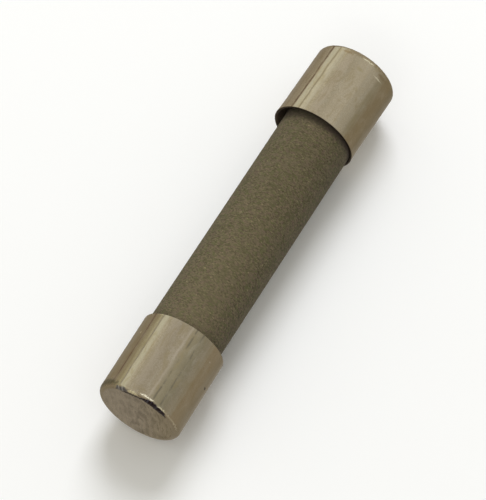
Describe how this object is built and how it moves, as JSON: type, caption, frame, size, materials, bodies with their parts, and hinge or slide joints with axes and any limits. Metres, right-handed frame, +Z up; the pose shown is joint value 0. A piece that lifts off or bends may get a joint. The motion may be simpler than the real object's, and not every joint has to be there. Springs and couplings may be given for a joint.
{
  "type": "cartridge fuse",
  "caption": "Small cylindrical cartridge fuse: matte grey-brown fibre tube between two plain nickel-plated drawn end caps, with a notched element strip in sand inside.",
  "frame": {"origin": "centre of the fuse, on the line through the middles of its two end caps, halfway between its end faces", "axes": "+X along the fuse from the near end cap to the far one; +Z up with the fuse lying on its side"},
  "size_m": [0.0318, 0.0066, 0.0064],
  "materials": {
    "fibre": "matte",
    "cap_metal": "satin",
    "cement": "matte",
    "solder": "satin",
    "washer_brass": "satin",
    "seal_board": "matte",
    "element_copper": "satin",
    "tin": "satin",
    "sand": "matte"
  },
  "bodies": {
    "root": {"body_tube": "fibre", "near_end_cap": "cap_metal", "far_end_cap": "cap_metal", "near_cement": "cement", "far_cement": "cement", "near_solder": "solder", "far_solder": "solder", "near_slotted_washer": "washer_brass", "far_slotted_washer": "washer_brass", "near_sand_seal": "seal_board", "far_sand_seal": "seal_board", "element_strip": "element_copper", "tin_bead": "tin", "sand_fill": "sand"}
  },
  "joints": []
}
